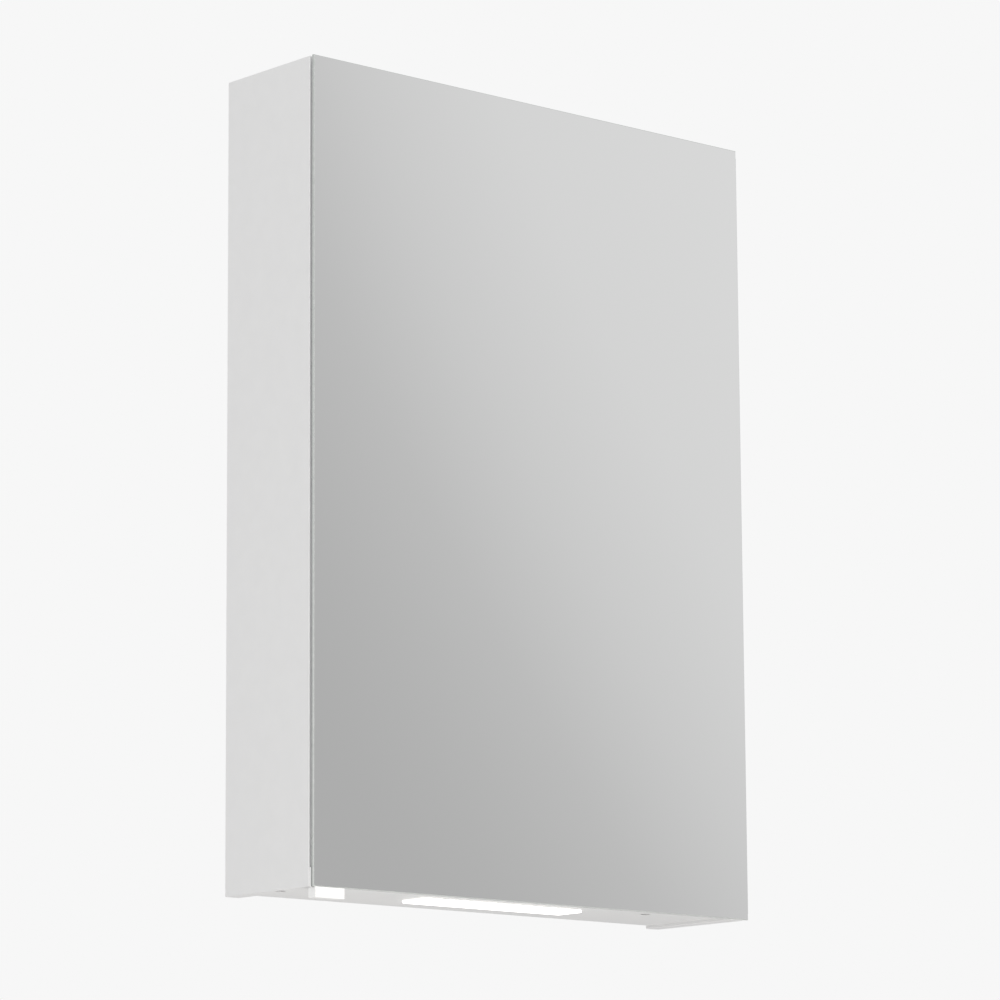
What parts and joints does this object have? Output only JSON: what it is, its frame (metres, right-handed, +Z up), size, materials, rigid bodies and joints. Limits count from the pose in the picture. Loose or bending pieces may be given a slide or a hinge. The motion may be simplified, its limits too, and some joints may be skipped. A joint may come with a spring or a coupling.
{
  "type": "lighted mirror cabinet",
  "caption": "Slim wall cabinet with a full-front frameless mirror door hinged on the right, white boards, glass shelves inside and a lamp let into the underside.",
  "frame": {"origin": "On the wall plane, midway between the two wall screws of the rail", "axes": "+X to the right as seen from the room, +Y into the wall, +Z up. The mirror is on the -Y side and the wall is the plane Y = 0"},
  "size_m": [0.5033, 0.118, 0.717],
  "materials": {
    "white_board": "fine-grained board, lacquered smooth satin white",
    "white_panel": "thin fibreboard, white foil",
    "beech": "bare turned wood",
    "mirror_glass": "silvered float glass, ground arris",
    "clear_glass": "clear float glass, polished edges",
    "bond_film": "thin double-sided film",
    "white_tape": "thin foam tape",
    "dark_tape": "thin dark foam tape",
    "white_plastic": "moulded, fine matt",
    "dark_plastic": "moulded, smooth",
    "opal_diffuser": "opal acrylic, lit from behind",
    "led_board": "white coated strip",
    "led_chip": "small encapsulated chips",
    "clear_rubber": "soft clear elastomer",
    "white_lead": "smooth flexible sheath",
    "zinc_steel": "zinc plated",
    "bright_steel": "stainless, fine drawn",
    "zinc_casting": "die-cast, nickel coated matt",
    "satin_aluminium": "anodised satin",
    "magnet": "nickel plated magnet"
  },
  "bodies": {
    "cabinet": {"back_panel": "white_panel", "bottom_board": "white_board", "cam_bolts": "zinc_steel", "cam_caps": "white_plastic", "cams": "zinc_casting", "catch_body": "white_plastic", "catch_magnet": "magnet", "door_bumpers": "clear_rubber", "dowels": "beech", "edge_plug": "dark_plastic", "glass_shelf_1": "clear_glass", "glass_shelf_2": "clear_glass", "glass_shelf_3": "clear_glass", "hanger_adjusters": "zinc_steel", "hanger_body_left": "zinc_casting", "hanger_body_right": "zinc_casting", "hanger_cover_left": "white_plastic", "hanger_cover_right": "white_plastic", "hanger_hook_left": "zinc_steel", "hanger_hook_right": "zinc_steel", "hanger_screws": "zinc_steel", "hinge_leaf_board": "satin_aluminium", "hinge_pin": "bright_steel", "hinge_screws": "bright_steel", "lamp_diffuser": "opal_diffuser", "lamp_driver": "white_plastic", "lamp_housing": "white_plastic", "lamp_lead": "white_lead", "lamp_screws": "zinc_steel", "led_chips": "led_chip", "led_strip": "led_board", "left_side_board": "white_board", "right_side_board": "white_board", "sensor_body": "white_plastic", "sensor_lead": "white_lead", "sensor_lens": "dark_plastic", "shelf_pins": "bright_steel", "shelf_sleeves": "clear_rubber", "supply_lead": "white_lead", "terminal_block": "white_plastic", "terminal_box": "white_plastic", "terminal_lid": "white_plastic", "top_board": "white_board", "wall_rail": "zinc_steel"},
    "door": {"bond_film": "bond_film", "catch_strike": "zinc_steel", "finger_grip": "white_plastic", "front_mirror_pane": "mirror_glass", "grip_tape": "dark_tape", "hinge_leaf_door": "satin_aluminium", "hinge_tape": "white_tape", "rear_mirror_pane": "mirror_glass"}
  },
  "joints": [
    {"name": "door_swing", "type": "hinge", "parent": "cabinet", "child": "door", "pos_m": [0.2515, -0.1135, 0], "axis": [0, 0, 1], "range_deg": [0, 170]}
  ]
}
